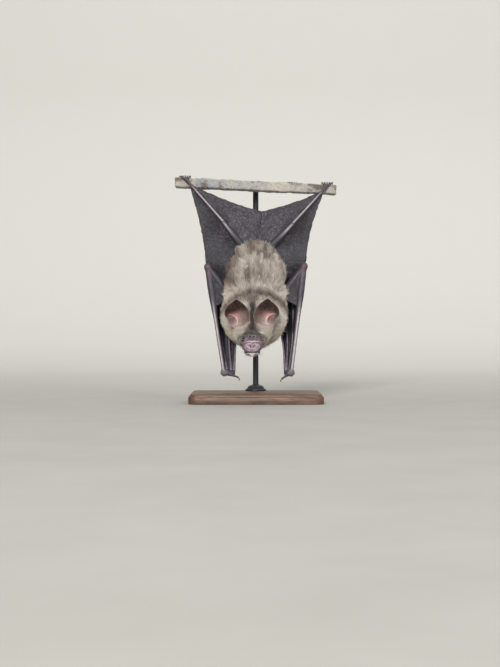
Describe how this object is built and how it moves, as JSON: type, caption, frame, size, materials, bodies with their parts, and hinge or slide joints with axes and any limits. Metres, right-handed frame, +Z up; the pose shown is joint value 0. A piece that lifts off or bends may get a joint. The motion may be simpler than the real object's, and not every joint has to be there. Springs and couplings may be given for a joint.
{
  "type": "bat",
  "caption": "Roundleaf bat hanging head-down by its spread feet, wings folded, head thrown back, from a short strip of rock on a plain display stand.",
  "frame": {"origin": "centre of the stand base's underside, on the surface the stand rests on", "axes": "+Z up, towards the bat's feet; the bat's back and face look along -Y and its belly along +Y; +X is the bat's left, to the right of someone who faces its back"},
  "size_m": [0.1342, 0.078, 0.1868],
  "materials": {
    "fur": "short dense fur, pale greyish brown with browner bands",
    "membrane": "thin wrinkled bare skin, dark slate brown",
    "limb_skin": "bare skin drawn over thin bone, pinkish grey",
    "foot_skin": "bare wrinkled skin, dark grey",
    "ear_skin": "thin ribbed skin, dark brown to pink inside",
    "face_skin": "bare folded skin, greyish pink, slightly moist",
    "claw": "dark polished horn",
    "eye": "small glossy dark bead",
    "stand_wood": "dark stained hardwood, satin",
    "stand_metal": "satin dark grey paint on steel",
    "stand_rock": "cast imitation rock, pale and rough"
  },
  "bodies": {
    "root": {"arm_membrane_left": "membrane", "arm_membrane_right": "membrane", "ear_left": "ear_skin", "ear_right": "ear_skin", "eye_left": "eye", "eye_right": "eye", "foot_left": "foot_skin", "foot_right": "foot_skin", "forearm_left": "limb_skin", "forearm_right": "limb_skin", "hand_left": "limb_skin", "hand_right": "limb_skin", "hand_wing_left": "membrane", "hand_wing_right": "membrane", "head": "fur", "hind_claw_left_1": "claw", "hind_claw_left_2": "claw", "hind_claw_left_3": "claw", "hind_claw_left_4": "claw", "hind_claw_left_5": "claw", "hind_claw_right_1": "claw", "hind_claw_right_2": "claw", "hind_claw_right_3": "claw", "hind_claw_right_4": "claw", "hind_claw_right_5": "claw", "lower_jaw": "face_skin", "neck": "fur", "noseleaf_back": "face_skin", "noseleaf_front": "face_skin", "shank_left": "limb_skin", "shank_right": "limb_skin", "tail": "limb_skin", "tail_membrane_left": "membrane", "tail_membrane_right": "membrane", "thigh_left": "limb_skin", "thigh_right": "limb_skin", "thumb_claw_left": "claw", "thumb_claw_right": "claw", "thumb_left": "limb_skin", "thumb_right": "limb_skin", "trunk": "fur", "upper_arm_left": "limb_skin", "upper_arm_right": "limb_skin", "wing_membrane_left": "membrane", "wing_membrane_right": "membrane", "stand_base": "stand_wood", "stand_perch": "stand_rock", "stand_rod": "stand_metal"}
  },
  "joints": []
}
